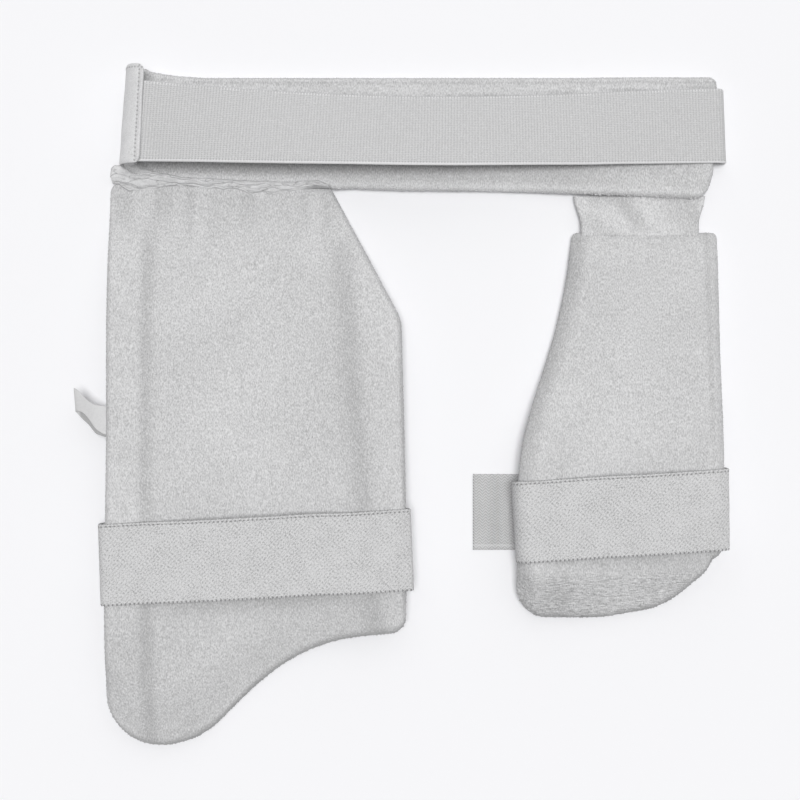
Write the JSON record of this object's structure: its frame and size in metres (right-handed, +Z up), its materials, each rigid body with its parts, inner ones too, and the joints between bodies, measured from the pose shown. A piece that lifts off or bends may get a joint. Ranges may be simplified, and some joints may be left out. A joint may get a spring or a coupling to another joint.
{
  "type": "combined cricket thigh guard",
  "caption": "Towelling-lined combined thigh guard: a padded waist belt carrying an outer and an inner thigh pad, with woven elastic waist and thigh straps, lying flat.",
  "frame": {"origin": "on the surface that the guard lies on, under the middle of its outline", "axes": "+Z up from the surface, towards the side that meets the body; +Y from the thighs towards the waist belt; +X from the outer pad towards the inner pad"},
  "size_m": [0.4672, 0.4854, 0.0386],
  "materials": {
    "towelling": "looped cotton towelling over foam, white in soft grey light, matte",
    "binding_cloth": "gathered white knitted binding, matte",
    "smooth_facing": "smooth woven white facing with a lockstitch along its edge",
    "ribbed_elastic": "white ribbed woven elastic with a bright selvedge",
    "brushed_elastic": "brushed white elastic with a diagonal weave and picot edges",
    "herringbone_elastic": "light grey herringbone elastic, the back of the thigh strap",
    "satin_label": "bare white satin ribbon"
  },
  "bodies": {
    "root": {"outer_thigh_pad": "towelling", "inner_thigh_pad": "towelling", "waist_belt": "towelling", "inner_pad_neck": "towelling", "pad_top_hem": "binding_cloth", "belt_end_tab": "smooth_facing", "waist_strap": "ribbed_elastic", "outer_thigh_strap": "brushed_elastic", "inner_thigh_strap": "brushed_elastic", "inner_strap_tail": "herringbone_elastic", "side_label": "satin_label"}
  },
  "joints": []
}
